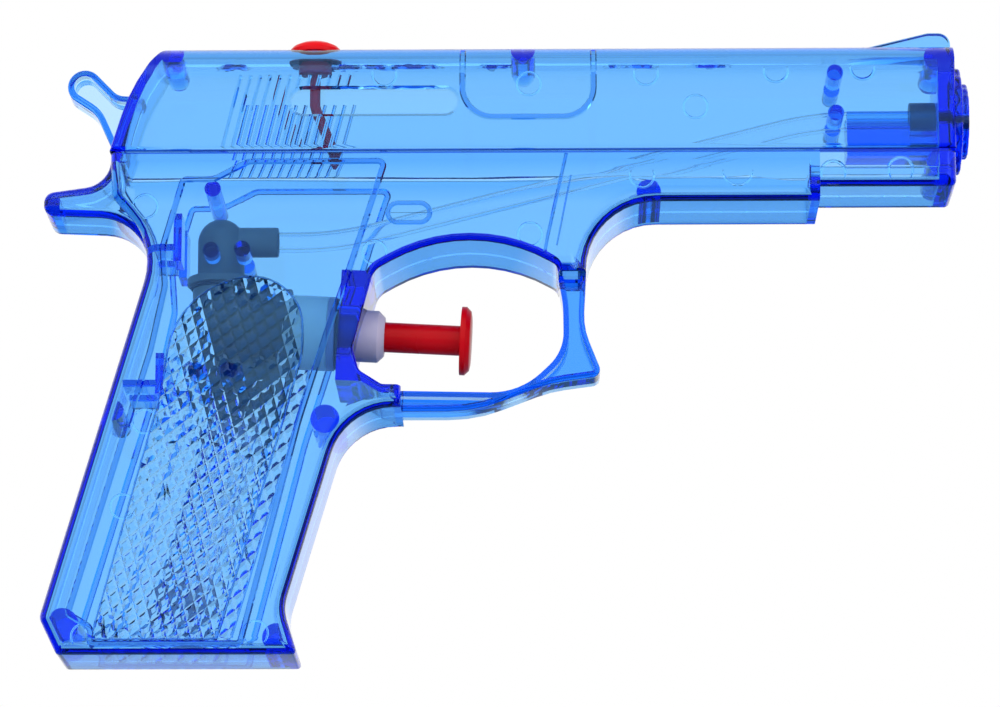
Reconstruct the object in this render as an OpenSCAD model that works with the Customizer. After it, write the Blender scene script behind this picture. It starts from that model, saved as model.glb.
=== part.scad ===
// Toy water pistol: two clear half shells with a trigger pump, valves and tubes inside.
// Frame: origin at the mouth of the nozzle, +X the way the jet leaves, +Z up, the
// parting plane of the two half shells at Y = 0.

/* [Shell] */
// Width of the frame and the grip
body_w = 24; // [20:0.5:29]
// Width of the slide
slide_w = 22.4; // [19:0.1:26]
// Wall of the half shells
wall = 1.6; // [1.3:0.05:2]
// Height of the slide's top above the jet
slide_top = 14; // [12.5:0.1:17]
// Distance from the guard's front to the muzzle
barrel_l = 75.5; // [63:0.5:92]
// Height of the grip below the tang
grip_h = 84.9; // [70:0.1:102]
// Lean of the grip from upright
rake = 16; // [13:0.5:18]
// Width of the trigger guard
guard_w = 10; // [8:0.1:12]
// Thickness of the front wall behind the muzzle
front_wall = 3.3; // [2.8:0.1:4]
// Thickness of the moulded hammer
hammer_w = 7; // [5:0.1:8.4]
// Thickness of the front sight
sight_w = 3; // [2.4:0.1:3.6]

/* [Nozzle] */
// Diameter of the jet hole
jet_d = 1; // [0.8:0.05:1.2]
// Diameter of the nozzle insert
insert_d = 7.3; // [6.4:0.1:8.4]
// Length of the insert's thick part
insert_l = 5.2; // [4.6:0.1:6]
// Diameter of the insert's thin spout
spout_d = 2.8; // [2.4:0.1:3.3]

/* [Tubes] */
// Outer diameter of both tubes
tube_d = 4; // [3.3:0.1:4.7]
// Inner diameter of both tubes
tube_bore_d = 2.6; // [2.2:0.1:2.9]
// Height of the suction tube's end above the grip's base
tube_clear = 12.4; // [9:0.1:18]

/* [Pump] */
// Downward tilt of the pump towards the muzzle
pump_tilt = 3; // [0:0.5:4]
// Bore of the pump cylinder
pump_bore_d = 11.2; // [9.6:0.1:12]
// Outer diameter of the pump cylinder
pump_d = 14.6; // [14:0.1:15.4]
// Diameter of the nose that the rod slides in
nose_d = 10.2; // [9.2:0.1:11]
// Length of the nose in front of its flange
nose_l = 8.6; // [7.6:0.1:9.4]
// Diameter of the trigger rod
rod_d = 5.9; // [4.9:0.1:7.1]
// Diameter of the trigger button
button_d = 13.5; // [11.3:0.1:15]
// Free rod between the nose and the button
rod_out = 14.9; // [13:0.1:17]
// Travel of the trigger
stroke = 11.5; // [9.5:0.1:11.6]
// Mean diameter of the return spring
spring_d = 8.6; // [7.6:0.1:8.8]
// Wire of the return spring
wire_d = 0.7; // [0.6:0.05:0.8]
// Turns of the return spring
spring_turns = 4; // [3:1:4]

/* [Valves] */
// Diameter of both valve balls
ball_d = 3.8; // [3.2:0.1:4.2]
// Lift of the valve balls
ball_lift = 1; // [0.8:0.1:1.2]
// Diameter of the valve cap
cap_d = 9.2; // [8.4:0.1:10.4]
// Diameter of the valve cap's outlet
outlet_d = 5.9; // [5.5:0.1:6.6]
// Diameter of the holes under the balls
port_d = 2.2; // [1.8:0.1:2.5]

/* [Filler] */
// Diameter of the filler plug's neck
neck_d = 6.6; // [5.5:0.1:8]
// Diameter of the filler plug's cap
plug_d = 10.4; // [9.2:0.1:12]
// Length of the filler plug's neck
neck_l = 4; // [3.3:0.1:4.8]

/* [Clearances] */
// Radial gap of sliding parts
slide_gap = 0.06; // [0.02:0.01:0.09]
// Gap between fixed parts
seat_gap = 0.05; // [0.02:0.01:0.1]
// Gap around parts that only lie near each other
free_gap = 0.4; // [0.3:0.05:0.5]

/* [Hidden] */
$fn = 48;
eps = 0.01;

clear_blue = [0.35, 0.65, 1, 0.4];
toy_red = [0.8, 0.02, 0.08];
milky = [0.93, 0.92, 0.98];
grey = [0.25, 0.28, 0.3];

// The grip, guard, pump and valves are placed from the guard's front face.
grip_x = -barrel_l;
groove_z = -8.4;      // the line between slide and frame
tang_z = -22.8;       // underside of the tang at the back strap
tang_end = 3.9;       // solid end of the tang
frame_z = -18.4;      // underside of the frame
dust_z = -15.3;       // underside of the narrow front part
guard_z = -59.2;      // underside of the guard
base_z = tang_z - grip_h;
face_x = -3;          // front wall's outer face
step_x = -29.8;       // step between the frame and the narrow front part
dust_w = body_w - 3;  // width of the narrow front part
top_round = 7.5;      // round of the slide's upper edges
boss_r = [10.4, 7.3]; // the two steps of the muzzle
boss_l = 1.5;         // thickness of each step
guard_x = -39.9;      // where the narrow guard starts on the grip
guard_front = -24.4;  // top of the guard's front post, inside the frame

// Pump, in its own tilted frame: zero at the nose's front end, minus is inwards.
pump_at = [grip_x - 39.5, 0, -43.4];
flange_l = 1.5;
gasket_l = 1;
spigot_l = 0.5;
piston_l = 3;
cyl_front = -nose_l - gasket_l - flange_l;
sleeve_front = -18.5; // front end of the valve body's sleeve
block_l = 35;
sleeve_t = 1.1;
spigot_end = cyl_front - spigot_l;
piston_front = spigot_end - 0.2;
piston_rear = piston_front - piston_l;
spring_block = wire_d * (spring_turns + 1) + 0.2;
rear_wall = piston_rear - stroke - spring_block; // inner end of the pump chamber
button_t = 2.1;
ring_wire = 1.2;

// Valves, on an upright axis behind the pump chamber.
valve_x = grip_x - 71.8;
seat_z = -33.9;
dome_z = -24.3;
gasket_t = 0.6;
ball_r = ball_d / 2;
port_r = port_d / 2;
ball_rest = sqrt(ball_r * ball_r - port_r * port_r);
inlet_at = [grip_x - 66, 0, -53];
gallery_z = -52;
inlet_seat_t = 5.5;   // distance of the inlet seat down the suction axis
socket_t = 7.5;       // end of the valve body's inlet socket
tube_top = inlet_seat_t + 1.5;
tube_end = (inlet_at[2] - base_z - tube_clear) / cos(rake);
outlet_x = grip_x - 60.5;

// Filler plug
plug_x = grip_x - 53.6;
cap_h = 2.4;
stem_r = 1.05;

// Corner p of a round outline, r its radius, between the corners before and after it.
function unit(v) = v / norm(v);
function corner(a, p, b) =
    let(q = [p[0], p[1]], u = unit([a[0], a[1]] - q), w = unit([b[0], b[1]] - q),
        half = acos(u * w) / 2, c = q + unit(u + w) * p[2] / sin(half),
        s = q + u * p[2] / tan(half) - c, e = q + w * p[2] / tan(half) - c,
        from = atan2(s[1], s[0]), turn = atan2(s[0] * e[1] - s[1] * e[0], s * e),
        n = max(2, ceil(abs(turn) / 9)))
    [for (i = [0 : n]) c + p[2] * [cos(from + turn * i / n), sin(from + turn * i / n)]];
function rounded(p) =
    [for (i = [0 : len(p) - 1])
        each (p[i][2] == 0 ? [[p[i][0], p[i][1]]]
            : corner(p[(i + len(p) - 1) % len(p)], p[i], p[(i + 1) % len(p)]))];
function shift(p) = [for (c = p) [c[0] + grip_x, c[1], c[2]]];
function back_strap(z) = -82.9 + (z - tang_z) * tan(rake);
function front_strap(z) = -46.7 + (z + 59.4) * tan(rake);

frame_outline = concat(
    shift([[-93.3, groove_z, 0], [-93, -14, 5.6], [-106.3, -15.9, 2.2],
        [-106.3, tang_z + 2.4, 2.4], [back_strap(tang_z + 1.4), tang_z + 1.4, 9.9],
        [back_strap(base_z + 7.1), base_z + 7.1, 2.5],
        [back_strap(base_z) + 5.5, base_z, 1],
        [front_strap(base_z) + 5, base_z, 0.8],
        [front_strap(base_z + 8.9) - 0.3, base_z + 8.9, 8],
        [-46.7, -59.4, 12.5], [-36, -59.4, 0], [-36, -40, 0], [-8.5, -40, 0],
        [-5, -32.4, 0], [0, -32.4, 0], [0, frame_z, 13.9]]),
    [[step_x, frame_z, 1.2], [step_x, groove_z, 0]]);

slide_outline = concat(
    shift([[-93.3, groove_z - eps, 0], [-89.5, 4.5, 35], [-82.9, slide_top, 3]]),
    [[face_x, slide_top, 1], [face_x, groove_z - eps, 0]]);

finger_outline = shift([[-39.7, -55.2, 1.5], [-44.1, -52.4, 2], [-45.4, -48, 3],
    [-41.3, -32.6, 4], [-22.5, -21.9, 31], [-5.7, -31.7, 2], [-4.5, -38, 20],
    [-4.4, -47.5, 9], [-13, -55.7, 14]]);

guard_outline = shift([[-46, guard_z, 0], [-21.5, guard_z, 30], [-7, -53.6, 25],
    [3.3, -52.2, 1.6], [-0.5, -42.5, 14], [0, -33, 0], [0, guard_front, 0],
    [-46, guard_front, 0]]);

hammer_outline = shift([[-86, 4.8, 0], [-92.6, 5.2, 3], [-99.4, 12.2, 3.4],
    [-104.1, 6.2, 3.4], [-96.8, 1.4, 6], [-93, -7, 0], [-86, -7, 0]]);

sight_outline = [[step_x + 2, slide_top - 1, 0], [face_x - 4.5, slide_top + 4, 3],
    [face_x, slide_top + 4, 2.4], [face_x, slide_top - 1, 0]];

// Posts that hold the valves and tubes: x, z, radius, and how near the middle they reach.
rear_posts = [[-72.9, -16, 1.6, 0], [-73.1, -28.3, 1.6, cap_d / 2 + free_gap],
    [-67, -28.1, 1.6, outlet_d / 2 + free_gap], [-75.7, -52.3, 1.6, 5.4],
    [-69, -52.3, 1.6, 5.4]];
front_posts = [[-26.5, 7.3, 1.6, tube_d / 2 + free_gap], [-26.4, -0.8, 1.6, tube_d / 2 + free_gap]];
// Round bosses on the wall that line the two shells up: x, z, radius.
rear_bosses = [[-81.4, slide_top - 2.6, 2.2], [-12.3, slide_top - 1.8, 2.4], [-91.7, -59.8, 2],
    [-50.7, -61.6, 2.8], [front_strap(base_z) + 1, base_z + 3.3, 2.8],
    [back_strap(base_z) + 6.4, base_z + 5.9, 3.2], [12.3, -16.3, 2.4]];
front_bosses = [[-6.6, slide_top - 3.7, 2.3], [-6.6, -10.4, 2.2]];

module side(w) {
    rotate([90, 0, 0]) linear_extrude(w, center = true) children();
}

module along_x(x0, x1, r) {
    translate([x0, 0, 0]) rotate([0, 90, 0]) cylinder(h = x1 - x0, r = r);
}

module pump_frame() {
    translate(pump_at) rotate([0, pump_tilt, 0]) children();
}

module suction_frame() {
    translate(inlet_at) rotate([0, rake, 0]) children();
}

// Cross-section of slide and frame, its sides and top drawn in by t.
module cross_section(t) {
    low = base_z - 1;
    hw = body_w / 2 - t;
    sw = slide_w / 2 - t;
    top = slide_top - t;
    polygon(rounded([[-hw, low, 0], [-hw, groove_z - t, 0], [-sw, groove_z - t, 0],
        [-sw, top, top_round - t], [sw, top, top_round - t], [sw, groove_z - t, 0],
        [hw, groove_z - t, 0], [hw, low, 0]]));
}

module main_outline() {
    difference() {
        union() {
            polygon(rounded(frame_outline));
            polygon(rounded(slide_outline));
        }
        polygon(rounded(finger_outline));
        translate([grip_x + guard_x, -62]) square([6, 12]);
    }
}

module main_body(t) {
    intersection() {
        side(body_w + 2) offset(delta = -t) main_outline();
        translate([grip_x - 110, 0, 0]) rotate([90, 0, 90])
            linear_extrude(110 + barrel_l) cross_section(t);
    }
}

module dust_cover(t) {
    x1 = t > 0 ? face_x - front_wall : face_x;
    intersection() {
        side(dust_w - 2 * t) polygon(rounded([[step_x - wall - 1, groove_z + t, 0],
            [x1, groove_z + t, 0], [x1, dust_z + t, 1.2], [step_x - wall - 1, dust_z + t, 0]]));
        translate([step_x - 10, -body_w, -40]) cube([40, 2 * body_w, 60]);
    }
}

// The water tank: everything inside the walls, apart from the seats and posts.
module tank() {
    difference() {
        union() {
            intersection() {
                main_body(wall);
                translate([grip_x - 110, -body_w, base_z - 1])
                    cube([110 + barrel_l + face_x - front_wall, 2 * body_w, grip_h + 60]);
            }
            dust_cover(wall);
        }
        fittings();
    }
}

module posts(list, dx) {
    for (p = list, s = [-1, 1])
        translate([p[0] + dx, s * (body_w / 2 + p[3]) / 2, p[1]]) rotate([90, 0, 0])
            cylinder(h = body_w / 2 - p[3], r = p[2], center = true);
}

module bosses(list, dx) {
    for (p = list)
        translate([p[0] + dx, 0, p[1]]) rotate([90, 0, 0])
            cylinder(h = body_w, r = p[2], center = true);
}

// A T-shaped rib on each wall that stops the valves from moving back.
module back_stop(x, z, h) {
    for (s = [-1, 1]) {
        translate([x + grip_x, s * (body_w / 4 + 1.5), z])
            cube([1.6, body_w / 2 - 3, h], center = true);
        translate([x + grip_x - 3.5, s * (body_w / 4 + 1.5), z - 2])
            cube([7, body_w / 2 - 3, 1.4], center = true);
    }
}

// Everything solid inside the walls.
module fittings() {
    posts(rear_posts, grip_x);
    posts(front_posts, 0);
    bosses(rear_bosses, grip_x);
    bosses(front_bosses, 0);
    back_stop(-79.6, -25.8, 9.6);
    back_stop(-82.7, -52.9, 8);
    pump_frame() translate([-nose_l, -body_w / 2, -11.4]) cube([9, body_w, 22]);
    translate([-24, -4.6, -8.2]) cube([24 + face_x - eps, 9.2, 9]);
    translate([grip_x - 107, -body_w / 2, tang_z]) cube([tang_end, body_w, 10]);
}

module cradle_cuts() {
    along_x(step_x, -6.3, tube_d / 2 + seat_gap);
    along_x(-insert_l - 6.3 - seat_gap, -6.3 + seat_gap, insert_d / 2 + seat_gap);
    along_x(-7, 1, spout_d / 2 + seat_gap);
}

module shell_body() {
    difference() {
        union() {
            difference() {
                union() {
                    main_body(0);
                    dust_cover(0);
                    for (i = [0, 1])
                        along_x(face_x - 1, face_x + boss_l * (i + 1), boss_r[i]);
                }
                tank();
            }
            difference() {
                side(guard_w) difference() {
                    polygon(rounded(guard_outline));
                    polygon(rounded(finger_outline));
                }
                tank();
            }
            difference() {
                side(hammer_w) polygon(rounded(hammer_outline));
                tank();
            }
            difference() {
                side(sight_w) polygon(rounded(sight_outline));
                tank();
            }
        }
        cradle_cuts();
        pump_frame() along_x(-nose_l - 1, 6, nose_d / 2 + seat_gap);
        translate([plug_x, 0, slide_top - wall - 1])
            cylinder(h = wall + 3, r = neck_d / 2 + slide_gap);
    }
}

module half(s) {
    intersection() {
        shell_body();
        translate([grip_x - 120, s < 0 ? -body_w : 0, base_z - 5])
            cube([barrel_l + 130, body_w, grip_h + 60]);
    }
}

module right_shell() {
    color(clear_blue) half(-1);
}

module left_shell() {
    color(clear_blue) half(1);
}

module nozzle_insert() {
    color("midnightblue") difference() {
        union() {
            along_x(-insert_l - 6.3, -6.3, insert_d / 2);
            along_x(-6.3 - eps, 0, spout_d / 2);
        }
        along_x(-insert_l - 7, 1, jet_d / 2);
        along_x(-insert_l - 7, -8.3, tube_d / 2);
    }
}

// The delivery tube's middle line: level out of the valve cap, one bend up, a straight
// run, one bend back and level into the nozzle.
tube_bend = 60;
tube_from = [outlet_x - 5, dome_z];
tube_to = [-8.3, 0];
tube_lead = [9, 14];
run_from = tube_from + [tube_lead[0], 0];
run_to = tube_to - [tube_lead[1], 0];
run_rise = 2 * tube_bend - (run_to - run_from)[1];
// Slope of the straight run between the two bends.
climb = atan2((run_to - run_from)[0], run_rise)
    - acos(2 * tube_bend / norm([(run_to - run_from)[0], run_rise]));
function bend_up(a) = run_from + tube_bend * [sin(a), 1 - cos(a)];
function bend_down(a) = run_to - tube_bend * [sin(a), 1 - cos(a)];

// The line as points: x, z and slope, two at each straight stretch and seven round a bend.
tube_line = concat([[tube_from[0], tube_from[1], 0]],
    [for (i = [0 : 6]) let(a = climb * i / 6) [bend_up(a)[0], bend_up(a)[1], a]],
    [for (i = [6 : -1 : 0]) let(a = climb * i / 6) [bend_down(a)[0], bend_down(a)[1], a]],
    [[tube_to[0], tube_to[1], 0]]);

// A hollow tube swept along points of x, z and slope.
module sweep(line, r_out, r_in) {
    sides = 16;
    rings = len(line);
    points = [for (r = [r_out, r_in], p = line, j = [0 : sides - 1])
        let(b = 360 * j / sides)
        [p[0] - r * cos(b) * sin(p[2]), r * sin(b), p[1] + r * cos(b) * cos(p[2])]];
    inner = rings * sides;
    outside = [for (i = [0 : rings - 2], j = [0 : sides - 1])
        let(k = (j + 1) % sides, a = i * sides)
        [a + j, a + k, a + sides + k, a + sides + j]];
    inside = [for (f = outside) [for (j = [3 : -1 : 0]) f[j] + inner]];
    start = [for (j = [0 : sides - 1])
        let(k = (j + 1) % sides) [j, j + inner, k + inner, k]];
    end = [for (f = start) [for (j = [3 : -1 : 0]) f[j] + (rings - 1) * sides]];
    polyhedron(points, concat(outside, inside, start, end), convexity = 6);
}

module along_z_at(p, r, l, a) {
    translate([p[0], 0, p[1]]) rotate([0, 90 - a, 0]) cylinder(h = l, r = r);
}

module delivery_tube() {
    color([0.85, 0.92, 1, 0.6]) sweep(tube_line, tube_d / 2, tube_bore_d / 2);
}

module valve_cap() {
    shoulder = seat_z + seat_gap + ball_rest + ball_r + ball_lift + 0.1;
    foot = seat_z + gasket_t;
    color(grey) difference() {
        union() {
            translate([valve_x, 0, foot]) cylinder(h = dome_z - foot, r = cap_d / 2);
            translate([valve_x, 0, dome_z]) sphere(cap_d / 2);
            translate([valve_x, 0, foot]) cylinder(h = 1.6, r = cap_d / 2 + 2);
            translate([0, 0, dome_z]) along_x(valve_x, outlet_x, outlet_d / 2);
        }
        translate([valve_x, 0, foot - 1]) cylinder(h = shoulder - foot + 1, r = ball_r + 0.7);
        translate([valve_x, 0, foot]) cylinder(h = dome_z - foot, r = port_r + 0.2);
        translate([valve_x, 0, shoulder + 0.4]) cube([ball_d + 1.2, 0.9, 2], center = true);
        translate([0, 0, dome_z]) along_x(valve_x, outlet_x, port_r);
        translate([0, 0, dome_z]) along_x(outlet_x - 5, outlet_x + 1, tube_d / 2);
    }
}

module valve_gasket() {
    color("black") translate([valve_x, 0, seat_z]) difference() {
        cylinder(h = gasket_t, r = cap_d / 2 + 1.4);
        translate([0, 0, -1]) cylinder(h = 3, r = ball_r + 0.7);
    }
}

module down(t0, t1, r) {
    translate([0, 0, -t1]) cylinder(h = t1 - t0, r = r);
}

module valve_body() {
    color(grey) difference() {
        union() {
            translate([valve_x, 0, seat_z - 6]) cylinder(h = 6, r = cap_d / 2 + 0.9);
            pump_frame() along_x(-block_l, sleeve_front, pump_d / 2 + seat_gap + sleeve_t);
            translate([valve_x - 3, -5, gallery_z - 3])
                cube([inlet_at[0] - valve_x + 7.5, 10, 7]);
            suction_frame() down(-1, socket_t, 4.2);
        }
        translate([valve_x, 0, seat_z]) cylinder(h = sleeve_t + 1, r = cap_d / 2 + 2.2);
        pump_frame() along_x(rear_wall, sleeve_front + 1, pump_d / 2 + seat_gap);
        pump_frame() along_x(valve_x - pump_at[0], rear_wall + eps, port_r);
        translate([valve_x, 0, gallery_z - port_r])
            cylinder(h = seat_z - gallery_z + port_r + 1, r = port_r);
        translate([0, 0, gallery_z]) along_x(valve_x, inlet_at[0], port_r);
        suction_frame() down(-1, 3, port_r);
        suction_frame() down(inlet_seat_t - ball_rest - ball_r - ball_lift - 0.15,
            inlet_seat_t + eps, ball_r + 0.6);
        suction_frame() down(inlet_seat_t, socket_t + 1, 3.1);
    }
}

module inlet_seat() {
    color(milky) suction_frame() difference() {
        down(inlet_seat_t, inlet_seat_t + 5, 3.1);
        down(inlet_seat_t - 1, inlet_seat_t + 3, port_r);
        down(inlet_seat_t + 1.5, inlet_seat_t + 6, tube_d / 2);
    }
}

module outlet_ball() {
    color("silver") translate([valve_x, 0, seat_z + ball_rest + seat_gap]) sphere(ball_r);
}

module inlet_ball() {
    color("silver") suction_frame() translate([0, 0, ball_rest - inlet_seat_t + seat_gap])
        sphere(ball_r);
}

module suction_tube() {
    color([0.85, 0.92, 1, 0.6]) suction_frame() difference() {
        down(tube_top, tube_end, tube_d / 2);
        down(tube_top - 1, tube_end + 1, tube_bore_d / 2);
    }
}

module strainer() {
    top = tube_end - 3;
    color(milky) suction_frame() difference() {
        down(top, top + 7, tube_d / 2 + 1.1);
        down(top - 1, top + 3, tube_d / 2);
        down(top + 2, top + 6, tube_bore_d / 2);
        for (a = [0, 90])
            rotate([0, 0, a]) translate([0, 0, -top - 6]) cube([8, 1, 3], center = true);
    }
}

module pump_cylinder() {
    color(milky) pump_frame() difference() {
        along_x(rear_wall, cyl_front, pump_d / 2);
        along_x(rear_wall - 1, cyl_front + 1, pump_bore_d / 2);
    }
}

module pump_nose() {
    r = nose_d / 2;
    edge = 1.3;
    color(milky) pump_frame() rotate([0, 90, 0]) rotate_extrude()
        polygon([[rod_d / 2 + slide_gap, spigot_end], [pump_bore_d / 2 - seat_gap, spigot_end],
            [pump_bore_d / 2 - seat_gap, cyl_front], [pump_d / 2, cyl_front],
            [pump_d / 2, cyl_front + flange_l], [r, cyl_front + flange_l], [r, -edge],
            [r - edge, 0], [rod_d / 2 + slide_gap, 0]]);
}

module nose_gasket() {
    color("black") pump_frame() difference() {
        along_x(-nose_l - gasket_l, -nose_l, pump_d / 2 - 0.3);
        along_x(-nose_l - 2, 1, nose_d / 2 + seat_gap);
    }
}

module trigger() {
    r = button_d / 2;
    color(toy_red) pump_frame() rotate([0, 90, 0]) rotate_extrude()
        polygon([[0, piston_front - 2], [rod_d / 2, piston_front - 2], [rod_d / 2, rod_out],
            [r, rod_out], [r, rod_out + button_t - 1.1], [r - 0.9, rod_out + button_t - 0.2],
            [r - 2, rod_out + button_t], [0, rod_out + button_t]]);
}

module piston() {
    r = pump_bore_d / 2 - 0.2;
    mid = (piston_front + piston_rear) / 2;
    groove_r = pump_bore_d / 2 - slide_gap - ring_wire - 0.02;
    color(milky) pump_frame() difference() {
        rotate([0, 90, 0]) rotate_extrude()
            polygon([[0, piston_rear], [r, piston_rear], [r, mid - ring_wire / 2 - 0.05],
                [groove_r, mid - ring_wire / 2 - 0.05], [groove_r, mid + ring_wire / 2 + 0.05],
                [r, mid + ring_wire / 2 + 0.05], [r, piston_front], [0, piston_front]]);
        along_x(piston_front - 2, piston_front + 1, rod_d / 2);
    }
}

module piston_ring() {
    mid = (piston_front + piston_rear) / 2;
    color("black") pump_frame() translate([mid, 0, 0]) rotate([0, 90, 0]) rotate_extrude()
        translate([pump_bore_d / 2 - slide_gap - ring_wire / 2, 0]) circle(ring_wire / 2);
}

// A round wire wound along X from x0 to x1.
module coil(x0, x1, r, wire, turns) {
    steps = 18 * turns;
    sides = 6;
    points = [for (i = [0 : steps], j = [0 : sides - 1])
        let(a = 360 * turns * i / steps, b = 360 * j / sides, d = r + wire / 2 * cos(b))
        [x0 + (x1 - x0) * i / steps + wire / 2 * sin(b), d * cos(a), d * sin(a)]];
    tube = [for (i = [0 : steps - 1], j = [0 : sides - 1])
        let(k = (j + 1) % sides)
        [i * sides + j, i * sides + k, (i + 1) * sides + k, (i + 1) * sides + j]];
    first = [for (j = [sides - 1 : -1 : 0]) j];
    last = [for (j = [0 : sides - 1]) steps * sides + j];
    polyhedron(points, concat([first], tube, [last]), convexity = 8);
}

module return_spring() {
    gap = wire_d / 2 + 0.05;
    color("silver") pump_frame()
        coil(rear_wall + gap, piston_rear - gap, spring_d / 2, wire_d, spring_turns);
}

module filler_plug() {
    knee = 3;
    lean = [4, -9.5];
    color(toy_red) {
        translate([plug_x, 0, slide_top]) rotate_extrude()
            polygon([[0, -neck_l], [neck_d / 2 - 0.4, -neck_l], [neck_d / 2, 0.4 - neck_l],
                [neck_d / 2, 0], [plug_d / 2, 0], [plug_d / 2, 0.9], [plug_d / 2 - 0.7, 1.7],
                [plug_d / 2 - 2.1, cap_h], [0, cap_h + 0.1]]);
        translate([plug_x, 0, knee])
            cylinder(h = slide_top - neck_l - knee + eps, r = stem_r);
        translate([plug_x, 0, knee]) sphere(stem_r + 0.15);
        along_z_at([plug_x, knee], stem_r, norm(lean), atan2(lean[1], lean[0]));
        translate([plug_x + lean[0], 0, knee + lean[1] - 2]) cylinder(h = 3, r1 = 0.3, r2 = 1.7);
    }
}

right_shell();
left_shell();
nozzle_insert();
delivery_tube();
valve_cap();
valve_gasket();
valve_body();
outlet_ball();
inlet_ball();
inlet_seat();
suction_tube();
strainer();
pump_cylinder();
pump_nose();
nose_gasket();
trigger();
piston();
piston_ring();
return_spring();
filler_plug();
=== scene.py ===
"""Looks of the clear toy water pistol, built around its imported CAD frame.

Outlines and sizes are in millimetres in the part's own frame: +X towards the muzzle,
+Z up, the parting plane at Y = 0. They are turned into metres as they are meshed.
"""
import math

import bpy
import numpy as np
from mathutils import Matrix, Vector


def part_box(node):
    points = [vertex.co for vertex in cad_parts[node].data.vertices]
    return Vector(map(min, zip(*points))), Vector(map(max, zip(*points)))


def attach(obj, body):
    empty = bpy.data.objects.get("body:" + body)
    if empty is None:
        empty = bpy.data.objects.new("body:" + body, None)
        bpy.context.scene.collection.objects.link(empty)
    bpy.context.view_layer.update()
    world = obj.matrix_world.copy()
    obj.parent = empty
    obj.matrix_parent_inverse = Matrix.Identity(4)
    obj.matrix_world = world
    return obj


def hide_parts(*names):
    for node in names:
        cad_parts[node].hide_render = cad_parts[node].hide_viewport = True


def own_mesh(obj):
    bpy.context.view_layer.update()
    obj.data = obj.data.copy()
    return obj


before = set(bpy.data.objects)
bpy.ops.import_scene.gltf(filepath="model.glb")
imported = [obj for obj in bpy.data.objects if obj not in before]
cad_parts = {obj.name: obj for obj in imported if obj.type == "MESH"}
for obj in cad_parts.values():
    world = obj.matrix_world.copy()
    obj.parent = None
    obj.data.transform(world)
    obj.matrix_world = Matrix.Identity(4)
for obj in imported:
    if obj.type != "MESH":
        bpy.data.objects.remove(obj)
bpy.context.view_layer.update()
MM = 0.001


def node_box(name):
    """A CAD node's box as two arrays in millimetres."""
    low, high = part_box(name)
    return np.array(low) / MM, np.array(high) / MM


# ---------------------------------------------------------------- sizes
SHELL_LOW, SHELL_HIGH = node_box("right_shell")
BODY = -SHELL_LOW[1]          # half width of frame and grip
SLIDE = BODY - 0.8            # half width of the slide
DUST = BODY - 1.5             # half width of the narrow front part
GUARD = 5.0                   # half width of the trigger guard
TANG = 9.0                    # half width of the tang
TANG_EDGE = 2.0               # round of its edges
HAMMER = 3.5                  # half width of the hammer
SIGHT = 1.5                   # half width of the sight
SEAM_HALF = 0.42              # half height of the groove between slide and frame
WALL = 1.6                    # wall of the shells
SEAM = 0.01                   # half of the gap between the two shells
EDGE = 3.0                    # round of the frame's and grip's edges
BASE_Z = SHELL_LOW[2]
TOP_Z = SHELL_HIGH[2] - 4.0   # slide's top, under the sight
GRIP_X = -75.5                # the guard's front face
GROOVE_Z = -8.4               # line between slide and frame
TANG_Z = -22.8                # level just under the tang
FRAME_Z = -18.4               # underside of the frame in front of the guard
DUST_Z = -15.3                # underside of the narrow front part
GUARD_Z = -59.2               # underside of the guard
FACE_X = -3.0                 # outer face of the front wall
FRONT_WALL = 3.3              # thickness of the front wall
STEP_X = -29.8                # where the front part narrows
TOP_ROUND = 7.5               # round of the slide's upper edges
RAKE = math.radians(16)       # lean of the grip
BOSS_R = (10.4, 7.3)          # radii of the two muzzle bosses
BOSS_L = 1.5                  # length of each step
PUMP_AT = (GRIP_X - 39.5, 0, -43.4)      # tip of the pump's nose
TILT = math.radians(3)        # slope of the pump
VALVE_X = GRIP_X - 71.8       # axis of the upright valve
SEAT_Z = -33.9                # top face of the valve block
DOME_Z = -24.3                # middle of the cap's dome
OUTLET_X = GRIP_X - 60.5      # end of the cap's spout
INLET_AT = (GRIP_X - 66, 0, -53)         # top of the suction socket
PLUG_X = GRIP_X - 53.6        # axis of the filler plug
ROD_R = 2.95                  # radius of the trigger rod
NOSE_R = 5.1                  # radius of the pump's nose
BORE_R = 5.6                  # bore of the pump cylinder
PUMP_R = 7.3                  # outer radius of the pump cylinder
REAR_WALL = -30.0             # inner end of the pump chamber
TUBE_R = 2.0                  # outer radius of the tubes
TUBE_BORE = 1.3               # inner radius of the tubes
BALL_R = 1.9                  # radius of the valve balls
PORT_R = 1.1                  # radius of the water ports in valve body, cap and seat

PUMP = Matrix.Translation(PUMP_AT) @ Matrix.Rotation(TILT, 4, "Y")
SUCTION = Matrix.Translation(INLET_AT) @ Matrix.Rotation(RAKE, 4, "Y")
UPRIGHT = Matrix.Rotation(-math.pi / 2, 4, "Y")   # turns +X up to +Z


# ---------------------------------------------------------------- plane geometry
def rounded(corners, step=9.0):
    """Outline through corners (x, z, radius): each corner becomes an arc of its radius
    that touches both sides, with a point every step degrees."""
    out = []
    for i, (x, z, r) in enumerate(corners):
        q = np.array([x, z], float)
        if r == 0:
            out.append(q)
            continue
        a = np.array(corners[i - 1][:2], float) - q
        b = np.array(corners[(i + 1) % len(corners)][:2], float) - q
        a /= np.linalg.norm(a)
        b /= np.linalg.norm(b)
        half = math.acos(float(np.clip(a @ b, -1, 1))) / 2
        c = q + (a + b) / np.linalg.norm(a + b) * r / math.sin(half)
        s = q + a * r / math.tan(half) - c
        e = q + b * r / math.tan(half) - c
        start = math.atan2(s[1], s[0])
        turn = math.atan2(s[0] * e[1] - s[1] * e[0], s @ e)
        n = max(2, int(math.degrees(abs(turn)) / step + 1 - 1e-6))
        for k in range(n + 1):
            t = start + turn * k / n
            out.append(c + r * np.array([math.cos(t), math.sin(t)]))
    return np.array(out)


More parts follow.
